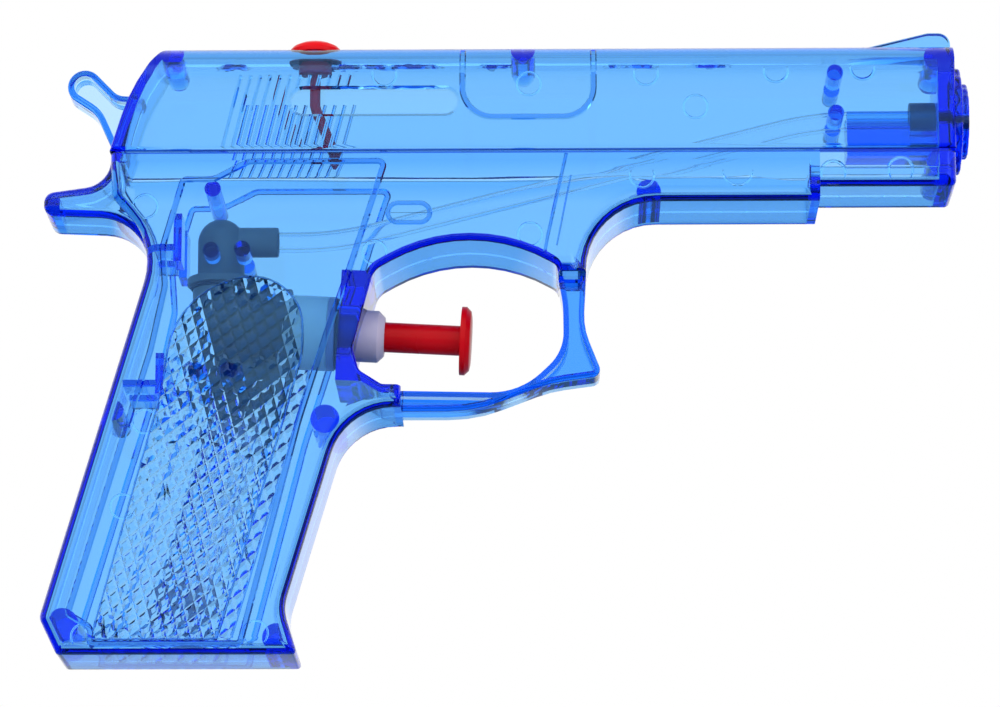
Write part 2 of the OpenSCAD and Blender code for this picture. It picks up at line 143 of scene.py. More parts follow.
def inset(corners, t):
    """The same corners with every side moved inwards by t. Outer corners lose t from
    their radius and inner corners gain it."""
    p = np.array([c[:2] for c in corners], float)
    d = np.roll(p, -1, 0) - p
    d /= np.linalg.norm(d, axis=1, keepdims=True)
    area = (p[:, 0] * np.roll(p[:, 1], -1) - np.roll(p[:, 0], -1) * p[:, 1]).sum()
    sign = 1.0 if area > 0 else -1.0
    out = []
    for i, (_, _, r) in enumerate(corners):
        u, v = d[i - 1], d[i]
        nu, nv = sign * np.array([-u[1], u[0]]), sign * np.array([-v[1], v[0]])
        q = p[i] + t * (nu + nv) / (1 + nu @ nv)
        bend = sign * (u[0] * v[1] - u[1] * v[0])
        size = 0 if r == 0 else max(r - t if bend > 0 else r + t, 0.15)
        out.append((q[0], q[1], size))
    return out


def rear(corners):
    """Corners given from the guard's front face, moved to the part's frame."""
    return [(x + GRIP_X, z, r) for x, z, r in corners]


def back_strap(z):
    """The grip's rear line, leaning by the rake."""
    return -82.9 + (z - TANG_Z) * math.tan(RAKE)


def front_strap(z):
    """The grip's front line, leaning by the rake."""
    return -46.7 + (z + 59.4) * math.tan(RAKE)


def frame_corners(top, front):
    """The frame's and grip's outline up to the given top, forward to the given front."""
    return rear([(-93.3, top, 0), (-92.8, -17.2, 4), (back_strap(TANG_Z - 4), TANG_Z - 4, 14),
        (back_strap(BASE_Z + 7.1), BASE_Z + 7.1, 2.5), (back_strap(BASE_Z) + 5.5, BASE_Z, 1),
        (front_strap(BASE_Z) + 5, BASE_Z, 0.8), (front_strap(BASE_Z + 8.9) - 0.3, BASE_Z + 8.9, 8),
        (-46.7, -59.4, 12.5), (-36, -59.4, 0), (-36, -40, 0), (-8.5, -40, 0),
        (-5, -32.4, 0), (0, -32.4, 0), (0, FRAME_Z, 13.9)]) + [(front, FRAME_Z, 0), (front, top, 0)]


def tang_corners():
    """The tang's outline: a tongue that runs out of the frame's rear, with round roots."""
    return rear([(-93.3, GROOVE_Z - 0.3, 0), (-93, -14, 5.6), (-106.3, -15.9, 2.2),
        (-106.3, TANG_Z + 2.4, 2.2), (back_strap(TANG_Z + 1.4), TANG_Z + 1.4, 9.9),
        (back_strap(-36), -36, 0), (-72, -36, 0), (-72, GROOVE_Z - 0.3, 0)])


def slide_corners(low, front):
    """The slide's outline, from its lower edge and back from its front."""
    return rear([(-93.3, low, 0), (-89.5, 4.5, 35), (-82.9, TOP_Z, 3)]) + [
        (front, TOP_Z, 1), (front, low, 0)]


FINGER = rear([(-39.7, -55.2, 1.5), (-44.1, -52.4, 2), (-45.4, -48, 3), (-41.3, -32.6, 4),
    (-22.5, -21.9, 31), (-5.7, -31.7, 2), (-4.5, -38, 20), (-4.4, -47.5, 9), (-13, -55.7, 14)])
GUARD_LINE = rear([(-46, GUARD_Z, 0), (-21.5, GUARD_Z, 30), (-7, -53.6, 25), (3.3, -52.2, 1.6),
    (-0.5, -42.5, 14), (0, -33, 0), (0, -24.4, 0), (-46, -24.4, 0)])
HAMMER_LINE = rear([(-86, 4.8, 0), (-92.6, 5.2, 3), (-99.4, 12.2, 3.4), (-104.1, 6.2, 3.4),
    (-96.8, 1.4, 6), (-93, -7, 0), (-86, -7, 0)])
SIGHT_LINE = [(STEP_X + 2, TOP_Z - 1, 0), (FACE_X - 4.5, TOP_Z + 4, 3), (FACE_X, TOP_Z + 4, 2.4),
    (FACE_X, TOP_Z - 1, 0)]
PANEL_LINE = rear([(-78.6, -14.4, 1), (-72.6, -14.4, 4), (-65.8, -10.8, 3), (-39.2, -10.8, 1),
    (-46.2, -33, 30), (-50.4, -45.5, 40), (-55.6, -62.5, 40), (-66.4, -106.1, 1),
    (-95.2, -106.1, 0.8), (-94.8, -103, 2), (-99.4, -100.2, 0.8), (-84.4, -48.5, 20),
    (-81.8, -35.8, 5), (-82.4, -28, 3)])
PAD_LINE = rear([(-94.9, -105.2, 0.6), (-82.2, -57, 40), (-79, -34.6, 17), (-55.2, -33.6, 10),
    (-55, -49, 16), (-58.5, -62, 40), (-70.9, -105.2, 0.6)])


# ---------------------------------------------------------------- meshes
def mesh(name, points, faces, place=None):
    """An object from points in millimetres, with its faces turned outwards."""
    p = np.asarray(points, float)
    six = 0.0
    for f in faces:
        a, b, c = p[f[0]], p[f[1:-1]], p[f[2:]]
        six += np.einsum("ij,ij->", np.cross(b, c), np.broadcast_to(a, b.shape))
    if six < 0:
        faces = [f[::-1] for f in faces]
    data = bpy.data.meshes.new(name)
    data.from_pydata(p * MM, [], [list(f) for f in faces])
    if place is not None:
        move = place.copy()
        move.translation = move.translation * MM
        data.transform(move)
    data.update()
    obj = bpy.data.objects.new(name, data)
    bpy.context.collection.objects.link(obj)
    return obj


def stack(name, loops, levels):
    """A closed solid through loops of (x, z) points at the given Y levels: walls between
    neighbouring loops and one face over each end."""
    n = len(loops[0])
    pts = np.vstack([np.column_stack([l[:, 0], np.full(n, y), l[:, 1]])
        for l, y in zip(loops, levels)])
    faces = [list(range(n)), list(range(len(pts) - n, len(pts)))[::-1]]
    for k in range(len(loops) - 1):
        for i in range(n):
            j = (i + 1) % n
            faces.append([k * n + j, k * n + i, (k + 1) * n + i, (k + 1) * n + j])
    return mesh(name, pts, faces)


def pillow(name, corners, half, edge, high=1.0, turns=6):
    """Half of a flat body of the given half width, from Y = high out to -half. Its edge is
    a quarter round: at angle a the outline is drawn in by edge*(1 - cos a) and lies
    edge*(1 - sin a) short of the full width."""
    loops, levels = [rounded(corners)], [high]
    for k in range(turns + 1):
        a = math.pi / 2 * k / turns
        loops.append(rounded(inset(corners, edge * (1 - math.cos(a)))))
        levels.append(-(half - edge) - edge * math.sin(a))
    return stack(name, loops, levels)


def block(low, high, place=None):
    """A box between two corners."""
    pts = [(x, y, z) for x in (low[0], high[0]) for y in (low[1], high[1]) for z in (low[2], high[2])]
    faces = [[0, 1, 3, 2], [4, 6, 7, 5], [0, 4, 5, 1], [2, 3, 7, 6], [0, 2, 6, 4], [1, 5, 7, 3]]
    return mesh("block", pts, faces, place)


def lathe(name, corners, place=None, sides=64):
    """Turns a profile of corners (s, r, radius) around the X axis. A profile that starts
    and ends on the axis gives a solid, and any other one gives a ring."""
    line = rounded(corners, 15)
    solid = corners[0][1] == 0 and corners[-1][1] == 0
    ring = line[1:-1] if solid else line
    a = np.arange(sides) * 2 * math.pi / sides
    pts = np.vstack([np.column_stack([np.full(sides, s), r * np.cos(a), r * np.sin(a)])
        for s, r in ring])
    rows = len(ring)
    faces = []
    for k in range(rows - 1 if solid else rows):
        m = (k + 1) % rows
        for i in range(sides):
            j = (i + 1) % sides
            faces.append([k * sides + i, k * sides + j, m * sides + j, m * sides + i])
    if solid:
        ends = np.array([[line[0][0], 0, 0], [line[-1][0], 0, 0]])
        first, last = len(pts), len(pts) + 1
        pts = np.vstack([pts, ends])
        for i in range(sides):
            j = (i + 1) % sides
            faces.append([first, j, i])
            faces.append([last, (rows - 1) * sides + i, (rows - 1) * sides + j])
    return mesh(name, pts, faces, place)


def rod(x0, x1, r, place=None, sides=48):
    """A plain round bar along X, for joining to or cutting from other pieces."""
    return lathe("rod", [(x0, 0, 0), (x0, r, 0), (x1, r, 0), (x1, 0, 0)], place, sides)


def pin(x, z, r, y0, y1, sides=32):
    """A round bar across the part at (x, z), from y0 to y1."""
    place = Matrix.Translation((x, 0, z)) @ Matrix.Rotation(math.pi / 2, 4, "Z")
    return rod(y0, y1, r, place, sides)


def ribbon(line, width, y0, y1, closed=True, slope=0.3):
    """A raised band along a line of (x, z) points: a trapezium section, wider at y0 than at
    y1 by slope on each side, its sides along the line's mean normals."""
    p = np.asarray(line, float)
    before = np.roll(p, 1, 0) if closed else np.vstack([p[:1], p[:-1]])
    after = np.roll(p, -1, 0) if closed else np.vstack([p[1:], p[-1:]])
    t = after - before
    t /= np.linalg.norm(t, axis=1, keepdims=True)
    normal = np.column_stack([-t[:, 1], t[:, 0]])
    half = width / 2
    rows = [(half, y0), (half - slope, y1), (slope - half, y1), (-half, y0)]
    pts = np.vstack([np.column_stack([p[:, 0] + normal[:, 0] * d, np.broadcast_to(y, len(p)),
        p[:, 1] + normal[:, 1] * d]) for d, y in rows])
    n = len(p)
    faces = []
    for i in range(n if closed else n - 1):
        j = (i + 1) % n
        for k in range(4):
            m = (k + 1) % 4
            faces.append([k * n + i, k * n + j, m * n + j, m * n + i])
    if not closed:
        faces.append([k * n for k in range(4)])
        faces.append([k * n + n - 1 for k in range(4)][::-1])
    return mesh("ribbon", pts, faces)


def circle(x, z, r, n=32):
    """Points of a circle in the (x, z) plane."""
    a = np.arange(n) * 2 * math.pi / n
    return np.column_stack([x + r * np.cos(a), z + r * np.sin(a)])


def dense(line, gap=1.5):
    """The same open line with points no further apart than gap."""
    out = []
    for p, q in zip(line[:-1], line[1:]):
        n = max(1, math.ceil(np.linalg.norm(q - p) / gap))
        out.extend(p + (q - p) * k / n for k in range(n))
    out.append(line[-1])
    return np.array(out)


def tube(name, path, radius, bore=0.0, sides=24):
    """A round bar, or a hollow tube if bore is given, swept along points in space. Each
    ring is square to the mean direction there."""
    p = np.asarray(path, float)
    t = np.gradient(p, axis=0)
    t /= np.linalg.norm(t, axis=1, keepdims=True)
    side = np.cross(t, [0.0, 1.0, 0.0])
    weak = np.linalg.norm(side, axis=1) < 0.2
    side[weak] = np.cross(t[weak], [1.0, 0.0, 0.0])
    side /= np.linalg.norm(side, axis=1, keepdims=True)
    up = np.cross(side, t)
    a = np.arange(sides) * 2 * math.pi / sides
    ring = side[:, None] * np.cos(a)[None, :, None] + up[:, None] * np.sin(a)[None, :, None]
    n = len(p)
    pts = (p[:, None] + ring * np.broadcast_to(radius, n)[:, None, None]).reshape(-1, 3)
    faces = []
    for k in range(n - 1):
        for i in range(sides):
            j = (i + 1) % sides
            faces.append([k * sides + i, k * sides + j, (k + 1) * sides + j, (k + 1) * sides + i])
    if not bore:
        faces += [list(range(sides))[::-1], list(range((n - 1) * sides, n * sides))]
        return mesh(name, pts, faces)
    inner = len(pts)
    pts = np.vstack([pts, (p[:, None] + ring * bore).reshape(-1, 3)])
    faces += [[v + inner for v in f[::-1]] for f in faces]
    for i in range(sides):
        j = (i + 1) % sides
        e = (n - 1) * sides
        faces.append([i, i + inner, j + inner, j])
        faces.append([e + j, e + j + inner, e + i + inner, e + i])
    return mesh(name, pts, faces)


def bake(obj):
    """Applies the modifiers of obj."""
    deps = bpy.context.evaluated_depsgraph_get()
    data = bpy.data.meshes.new_from_object(obj.evaluated_get(deps))
    obj.modifiers.clear()
    old, obj.data = obj.data, data
    bpy.data.meshes.remove(old)


def combine(obj, operation, tools):
    """Joins, cuts or crosses obj with each tool in turn, and drops the tools."""
    for tool in tools:
        mod = obj.modifiers.new(operation, "BOOLEAN")
        mod.operation = operation
        mod.solver = "MANIFOLD"
        mod.object = tool
    bake(obj)
    for tool in tools:
        data = tool.data
        bpy.data.objects.remove(tool)
        bpy.data.meshes.remove(data)
    return obj


def soften(obj, angle=30):
    """Smooth shading, with sharp edges above the angle and normals weighted by area."""
    obj.data.shade_smooth()
    obj.data.set_sharp_from_angle(angle=math.radians(angle))
    mod = obj.modifiers.new("normals", "WEIGHTED_NORMAL")
    mod.keep_sharp = True
    bake(obj)
    return obj


def ragged(obj, share):
    """Moves each point of a bar along X out or in by up to share of its distance from the
    axis, as two waves round it: the uneven edge that flash leaves."""
    n = len(obj.data.vertices)
    co = np.empty(n * 3, np.float32)
    obj.data.vertices.foreach_get("co", co)
    co = co.reshape(-1, 3)
    a = np.arctan2(co[:, 2], co[:, 1])
    k = 1 + share * (0.6 * np.sin(7 * a + 1) + 0.4 * np.sin(17 * a + co[:, 0] * 900))
    co[:, 1:] *= k[:, None]
    obj.data.vertices.foreach_set("co", co.ravel())
    return obj


# ---------------------------------------------------------------- shells
def slide_bar(low, t, front):
    """The slide's half bar, drawn in by t: its outline crossed with its section, a flat
    side and a round upper edge."""
    corners = inset(slide_corners(low, front), t) if t else slide_corners(low, front)
    bar = pillow("slide", corners, SLIDE - t, 1.0 if not t else 0.4)
    side, top = SLIDE - t, TOP_Z - t
    section = rounded([(2, low - 9, 0), (-side, low - 9, 0), (-side, top, TOP_ROUND - t),
        (2, top, 0)], 6)
    n = len(section)
    ends = [np.column_stack([np.full(n, x), section]) for x in (GRIP_X - 110, 5.0)]
    faces = [list(range(n)), list(range(n, 2 * n))[::-1]]
    faces += [[(i + 1) % n, i, n + i, n + (i + 1) % n] for i in range(n)]
    return combine(bar, "INTERSECT", [mesh("section", np.vstack(ends), faces)])


def outer_body():
    """The half shell's outside as one solid: frame and grip, slide, narrow front, guard,
    hammer, sight and muzzle boss."""
    body = pillow("shell", frame_corners(GROOVE_Z + 6, STEP_X + 8), BODY, EDGE, turns=8)
    combine(body, "DIFFERENCE", [block((-250, -20, GROOVE_Z - 0.25), (20, 2, 30)),
        block((STEP_X, -20, -60), (30, 2, 0))])
    front = pillow("front", [(STEP_X - 12, GROOVE_Z + 6, 0), (STEP_X - 12, DUST_Z, 0),
        (FACE_X, DUST_Z, 1.2), (FACE_X, GROOVE_Z + 6, 0)], DUST, EDGE - 0.6)
    combine(front, "DIFFERENCE", [block((-60, -20, GROOVE_Z - 0.25), (20, 2, 30))])
    tang = pillow("tang", tang_corners(), TANG, TANG_EDGE)
    lip = pillow("lip", [(GRIP_X - 92, GROOVE_Z - 3, 0), (FACE_X - 1, GROOVE_Z - 3, 0),
        (FACE_X - 1, GROOVE_Z + 3, 0), (GRIP_X - 92, GROOVE_Z + 3, 0)], SLIDE - 1.15, 0.05, turns=1)
    slide = slide_bar(GROOVE_Z + 0.25, 0, FACE_X)
    guard = pillow("guard", GUARD_LINE, GUARD, 0.9)
    dent = pillow("dent", inset(GUARD_LINE, 1.1), GUARD + 1, 0.2, -2.4)
    combine(dent, "DIFFERENCE", [finger_hole(1.1, 0.01)])
    combine(guard, "DIFFERENCE", [dent])
    hammer = pillow("hammer", HAMMER_LINE, HAMMER, 0.6)
    combine(hammer, "DIFFERENCE", [pillow("dent", inset(HAMMER_LINE, 1.3), HAMMER + 1, 0.2, -0.6)])
    sight = pillow("sight", SIGHT_LINE, SIGHT, 0.4)
    combine(body, "UNION", [front, tang, lip, slide, guard, hammer, sight] + bosses())
    return body


def bosses():
    """The two stepped discs of the muzzle, with an uneven rim."""
    out = []
    for i, r in enumerate(BOSS_R):
        back, end = FACE_X - 2, FACE_X + BOSS_L * (i + 1)
        disc = lathe("boss", [(back, 0, 0), (back, r, 0), (end, r, 0.6), (end, 0, 0)], None, 96)
        out.append(ragged(disc, 0.03))
    return out


def finger_hole(grow, flare):
    """The finger opening as a solid to cut away, grown by a wall and flared at the side."""
    corners = inset(FINGER, -grow) if grow else FINGER
    loops, levels = [rounded(corners, 6)] * 2, [3.0, -(BODY - flare)]
    for k in range(1, 6):
        a = math.pi / 2 * k / 5
        loops.append(rounded(inset(corners, -flare * (1 - math.cos(a))), 6))
        levels.append(-(BODY - flare) - flare * math.sin(a))
    loops.append(loops[-1])
    levels.append(-BODY - 3)
    return stack("finger", loops, levels)


def tank():
    """The hollow inside the half shell: frame, grip, slide and narrow front drawn in by
    the wall, without the finger opening's wall."""
    hollow = pillow("tank", inset(frame_corners(GROOVE_Z, STEP_X), WALL), BODY - WALL,
        EDGE - WALL, turns=5)
    upper = slide_bar(GROOVE_Z - 5, WALL, FACE_X - FRONT_WALL + WALL)
    front = pillow("front", inset([(STEP_X - 6, GROOVE_Z + 2, 0), (STEP_X - 6, DUST_Z, 0),
        (FACE_X - FRONT_WALL + WALL, DUST_Z, 1.2), (FACE_X - FRONT_WALL + WALL, GROOVE_Z + 2, 0)], WALL),
        DUST - WALL, 0.8)
    tang = pillow("tang", inset(tang_corners(), WALL), TANG - WALL, TANG_EDGE - WALL, turns=3)
    combine(hollow, "UNION", [upper, front, tang])
    combine(hollow, "DIFFERENCE", [finger_hole(WALL, 0.01)])
    return hollow


# Posts and bosses: x, z and radius, and for a post how far from the parting plane it ends.
# The rear ones' x counts from the guard's front face.
REAR_POSTS = [(-72.9, -16, 1.6, 0), (-73.1, -28.3, 1.6, 5), (-67, -28.1, 1.6, 3.35),
    (-75.7, -52.3, 1.6, 5.4), (-69, -52.3, 1.6, 5.4)]
FRONT_POSTS = [(-26.5, 7.3, 1.6, 2.4), (-26.4, -0.8, 1.6, 2.4)]
REAR_BOSSES = [(-81.4, TOP_Z - 2.6, 2.2), (-12.3, TOP_Z - 1.8, 2.4), (-91.7, -59.8, 2),
    (-50.7, -61.6, 2.8), (front_strap(BASE_Z) + 1, BASE_Z + 3.3, 2.8),
    (back_strap(BASE_Z) + 6.4, BASE_Z + 5.9, 3.2), (12.3, -16.3, 2.4)]
FRONT_BOSSES = [(-6.6, TOP_Z - 3.7, 2.3), (-6.6, -10.4, 2.2)]


def fittings():
    """Posts, bosses, stop ribs, the pump's seat and the nozzle's cradle, each as a bar
    from just inside the outer wall to the parting plane."""
    deep = -(SLIDE - 0.7)
    tools = [pin(x + GRIP_X, z, r, deep, -reach + 0.5 if reach == 0 else -reach)
        for x, z, r, reach in REAR_POSTS]
    tools += [pin(x, z, r, deep, -reach) for x, z, r, reach in FRONT_POSTS]
    tools += [pin(x + GRIP_X, z, r, -8.5, 0.5) for x, z, r in REAR_BOSSES]
    tools += [pin(x, z, r, -8.5, 0.5) for x, z, r in FRONT_BOSSES]
    for x, z, h in ((-79.6, -25.8, 9.6), (-82.7, -52.9, 8)):
        tools.append(block((GRIP_X + x - 0.8, deep, z - h / 2), (GRIP_X + x + 0.8, -3, z + h / 2)))
        tools.append(block((GRIP_X + x - 7, deep, z - 2.7), (GRIP_X + x + 0.1, -3, z - 1.3)))
    tools.append(block((-8.6, deep, -11.4), (0.4, 0.5, 10.6), PUMP))
    tools.append(block((-24, -4.6, -8.2), (FACE_X - 1, 0.5, 0.8)))
    tools.append(block((GRIP_X - 107, -13, TANG_Z), (GRIP_X - 103.1, 0.5, TANG_Z + 10)))
    return combine(tools[0], "UNION", tools[1:] + beads())


def bead(points, radius, seed):
    """A ragged bead of weld along points: round, its radius drifting between a third and
    one and a half times the given one as a sum of three waves with phases from seed."""
    p = np.asarray(points, float)
    t = np.linspace(0, 1, len(p)) * len(p)
    wave = sum(np.sin(t * f + seed * g) for f, g in ((0.31, 1.0), (0.77, 2.3), (1.9, 3.1))) / 3
    ends = np.clip(np.minimum(t, t[::-1]) / 3, 0.1, 1)
    return tube("bead", p, radius * (0.9 + 0.6 * wave) * ends, sides=10)


def beads():
    """Weld beads that hang inside the slide's top, along the seam."""
    under = TOP_Z - WALL - 0.2
    out = []
    for seed, (a, b) in enumerate([(-149, -141), (-128, -103), (-97, -88), (-72, -60), (-56, -46)]):
        x = np.arange(a, b, 0.8)
        z = under - 0.35 * np.sin(x * 0.9 + seed) * np.sin(x * 0.23)
        out.append(bead(np.column_stack([x, np.full(len(x), -0.4), z]), 0.55, seed))
    return out


def bores():
    """Holes for the nozzle, the tube's end, the pump's nose and the filler plug."""
    return [rod(STEP_X, -6.3, TUBE_R + 0.05), rod(-11.55, -6.25, 3.7), rod(-7, 1, 1.45),
        rod(-9.6, 8, NOSE_R + 0.05, PUMP),
        rod(TOP_Z - 4, TOP_Z + 2, 3.36, Matrix.Translation((PLUG_X, 0, 0)) @ UPRIGHT)]


def grooves(loop, angle, pitch, width, depth, level, phase=0.0):
    """V-shaped cuts in one direction across a loop, as one mesh: parallel prisms, each
    clipped to the stretch of its line inside the loop and tapered out at both ends."""
    d = np.array([math.cos(math.radians(angle)), math.sin(math.radians(angle))])
    n = np.array([-d[1], d[0]])
    across, along = loop @ n, loop @ d
    pts, faces = [], []
    k0 = math.ceil((across.min() - phase) / pitch)
    for k in range(k0, int((across.max() - phase) / pitch) + 1):
        c = phase + k * pitch
        nxt = np.roll(across, -1)
        hit = np.flatnonzero((across - c) * (nxt - c) < 0)
        if len(hit) < 2:
            continue
        t = (c - across[hit]) / (nxt[hit] - across[hit])
        ends = np.sort(along[hit] + t * (np.roll(along, -1)[hit] - along[hit]))
        lo, hi = ends[0], ends[-1]
        if hi - lo < 2.5 * width:
            continue
        base = len(pts)
        for s, inner in ((lo, False), (lo + width * 0.6, True), (hi - width * 0.6, True), (hi, False)):
            for off, y in ((-width / 2, -level - 0.3), (0, -level + depth if inner else -level - 0.25),
                    (width / 2, -level - 0.3)):
                q = d * s + n * (c + off)
                pts.append((q[0], y, q[1]))
        for r in range(3):
            a = base + 3 * r
            for i in range(3):
                j = (i + 1) % 3
                faces.append([a + i, a + j, a + 3 + j, a + 3 + i])
        faces += [[base + 2, base + 1, base], [base + 9, base + 10, base + 11]]
    return mesh("grooves", pts, faces)


def pad_cuts(angle):
    """The V-shaped cuts of one direction, kept to the checkered pad's outline."""
    wide = rounded(inset(PAD_LINE, -4))
    pad = rounded(PAD_LINE)
    tool = stack("pad", [pad, pad], [-BODY + 2, -BODY - 2])
    return combine(tool, "INTERSECT", [grooves(wide, angle, 2.25, 2.2, 0.5, BODY)])


def side_at(z):
    """Half width of the slide at height z: flat, then the round of its upper edge."""
    up = np.clip(np.asarray(z, float) - (TOP_Z - TOP_ROUND), 0, TOP_ROUND)
    return SLIDE - TOP_ROUND + np.sqrt(TOP_ROUND ** 2 - up ** 2)


def serrations():
    """The slide's twelve slanted finger ribs, three-sided in section."""
    tools = []
    for k in range(12):
        top, foot = -143.3 + k * 1.95, -146.6 + k * 1.92
        line = np.array([(foot, -7.7), (top, 6.4), (top + 0.1, 6.9)])
        tools.append(ribbon(line, 1.3, -SLIDE + 0.4, -SLIDE - 0.4, False, 0.6))
    return tools


def ledge():
    """A long slope inside that leads from the frame's inner side in to the slide's."""
    y, z = -(BODY - WALL) - 0.3, GROOVE_Z - WALL
    section = [(y, z + 0.4), (y, z - 4.2), (-(BODY - WALL), z - 3.6), (-(SLIDE - WALL), z - 0.1),
        (-(SLIDE - WALL), z + 0.4)]
    n = len(section)
    pts = [(x, a, b) for x in (GRIP_X - 90, STEP_X - 1) for a, b in section]
    faces = [list(range(n)), list(range(n, 2 * n))[::-1]]
    faces += [[(i + 1) % n, i, n + i, n + (i + 1) % n] for i in range(n)]
    return mesh("ledge", pts, faces)


def stadium(x0, x1, z0, z1):
    """A slot's outline with round ends."""
    r = (z1 - z0) / 2
    return rounded([(x0, z0, r * 0.999), (x1, z0, r * 0.999), (x1, z1, r * 0.999), (x0, z1, r * 0.999)])


# Ejector rings: x, z and radius.
EJECTORS = [(-63.6, 7.3, 2.35), (-38.1, 7.8, 2.35), (-21.1, 8.3, 2.35), (-53.9, 0.5, 2.35),
    (-86.6, 5.3, 2.35), (-115, 7.3, 2.35), (-116.7, -28.9, 2.35), (-86.4, -25.4, 2.35),
    (-64.5, -13.6, 2.35), (-45.8, -12.7, 2.9), (-27.1, -12.8, 2.35), (-13.9, -12.2, 2.35),
    (-160.9, -62.4, 2.35), (-164.9, -79.1, 2.35), (-172.1, -104.3, 2.2), (-139, -103.8, 2.35),
    (-161.5, -19.5, 2.35)]


def marks(right_side):
    """Raised lines on the outside of the walls: panel and pad on both sides, and on the
    right one the port, the button and the slanted lines too."""
    side = -BODY
    port = dense(rounded([(-73.9, 12.6, 0), (-73.9, -1.7, 6), (-99.6, -1.7, 6), (-99.6, 12.6, 0)]))
    near = side_at(port[:, 1])
    button = stadium(-114.1, -105.9, -23.2, -19.3)
    long_line = np.array([(-79.3, -9.4), (-82.9, -25.8), (-83.9, -31.3)])
    short_line = np.array([(-78.4, -13.8), (-81.2, -27.9)])
    both = [ribbon(rounded(PANEL_LINE), 1.6, side + 0.3, side - 0.5, slope=0.45),
        ribbon(rounded(PAD_LINE), 0.9, side + 0.3, side - 0.35, slope=0.35)]
    if not right_side:
        return both
    return both + [ribbon(port, 1.6, -near + 0.4, -near - 0.5, False, 0.4),
        ribbon(button, 1.3, side + 0.3, side - 0.5, slope=0.4),
        ribbon(long_line, 1.0, side + 0.3, side - 0.5, False, 0.38),
        ribbon(short_line, 0.6, side + 0.3, side - 0.3, False, 0.22)]


def ejector_marks():
    """Low rings on the inner walls, where pins pushed the moulding out."""
    tools = []
    for x, z, r in EJECTORS:
        half = side_at(z) if z > GROOVE_Z else (DUST if x > STEP_X else BODY)
        tools.append(ribbon(circle(x, z, r), 0.7, -(half - WALL + 0.3), -(half - WALL - 0.3), slope=0.28))
    return tools


def half_shell(right_side):
    """One half shell, on the right of the parting plane. Without right_side it is the left
    one's mirror image, which has no port, slot, button or slanted lines."""
    shell = outer_body()
    outside = bpy.data.objects.new("outside", shell.data.copy())
    bpy.context.collection.objects.link(outside)
    combine(shell, "UNION", marks(right_side) + serrations())
    for angle in (-75, 38):
        combine(shell, "DIFFERENCE", [pad_cuts(angle)])
    if right_side:
        outer, inner = stadium(-133.8, -100.1, -1.5, 4.7), stadium(-133.2, -100.7, -0.9, 4.1)
        slot = stack("slot", [inner, outer, outer], [-SLIDE + 0.5, -SLIDE, -SLIDE - 1])
        combine(shell, "DIFFERENCE", [slot])
    combine(shell, "DIFFERENCE", [tank()])
    inside = combine(fittings(), "INTERSECT", [outside])
    combine(shell, "UNION", [inside, ledge()] + (ejector_marks() if right_side else []))
    combine(shell, "DIFFERENCE", [finger_hole(0, 1.0)] + bores())
    combine(shell, "DIFFERENCE", [block((-260, -SEAM, -150), (60, 30, 60))])
    return shell


def shells():
    """Both half shells, the left one mirrored about the parting plane."""
    right, left = half_shell(True), half_shell(False)
    left.data.transform(Matrix.Scale(-1, 4, (0, 1, 0)))
    left.data.flip_normals()
    for obj, name, side in ((right, "right_half", "right_shell"), (left, "left_half", "left_shell")):
        obj.name = name
        soften(obj, 32)
        paint(obj, CLEAR_BLUE)
        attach(obj, "body")
        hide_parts(side)


# ---------------------------------------------------------------- materials
def material(name):
    """A new node material: its nodes, a linking function and its main shader."""
    m = bpy.data.materials.new(name)
    m.use_nodes = True
    tree = m.node_tree
    return m, tree.nodes, tree.links.new, tree.nodes["Principled BSDF"]


def grain(nodes, link, shader, size, height, rough):
    """Fine surface grain: two noises in object space, one as bump, one as roughness."""
    coords = nodes.new("ShaderNodeTexCoord")
    fine = nodes.new("ShaderNodeTexNoise")
    fine.inputs["Scale"].default_value = size
    fine.inputs["Detail"].default_value = 4
    bump = nodes.new("ShaderNodeBump")
    bump.inputs["Strength"].default_value = height
    bump.inputs["Distance"].default_value = 0.0001
    broad = nodes.new("ShaderNodeTexNoise")
    broad.inputs["Scale"].default_value = size / 8
    level = nodes.new("ShaderNodeMapRange")
    level.inputs["To Min"].default_value = rough * 0.7
    level.inputs["To Max"].default_value = rough * 1.3
    link(coords.outputs["Object"], fine.inputs["Vector"])
    link(coords.outputs["Object"], broad.inputs["Vector"])
    link(fine.outputs["Fac"], bump.inputs["Height"])
    link(bump.outputs["Normal"], shader.inputs["Normal"])
    link(broad.outputs["Fac"], level.inputs["Value"])
    link(level.outputs["Result"], shader.inputs["Roughness"])
    return broad


def opaque(name, low, high, rough, size=900, height=0.2, metal=0.0, glow=0.0,
        shine=0.5):
    """Moulded or drawn material whose colour drifts a little between two tones."""
    m, nodes, link, shader = material(name)
    shader.inputs["Metallic"].default_value = metal
    shader.inputs["Specular IOR Level"].default_value = shine
    if glow:
        shader.inputs["Subsurface Weight"].default_value = glow
        shader.inputs["Subsurface Radius"].default_value = (0.002, 0.002, 0.002)
    broad = grain(nodes, link, shader, size, height, rough)
    ramp = nodes.new("ShaderNodeValToRGB")
    ramp.color_ramp.elements[0].color = (*low, 1)
    ramp.color_ramp.elements[1].color = (*high, 1)
    ramp.color_ramp.elements[0].position = 0.35
    ramp.color_ramp.elements[1].position = 0.65
    link(broad.outputs["Fac"], ramp.inputs["Fac"])
    link(ramp.outputs["Color"], shader.inputs["Base Color"])
    return m


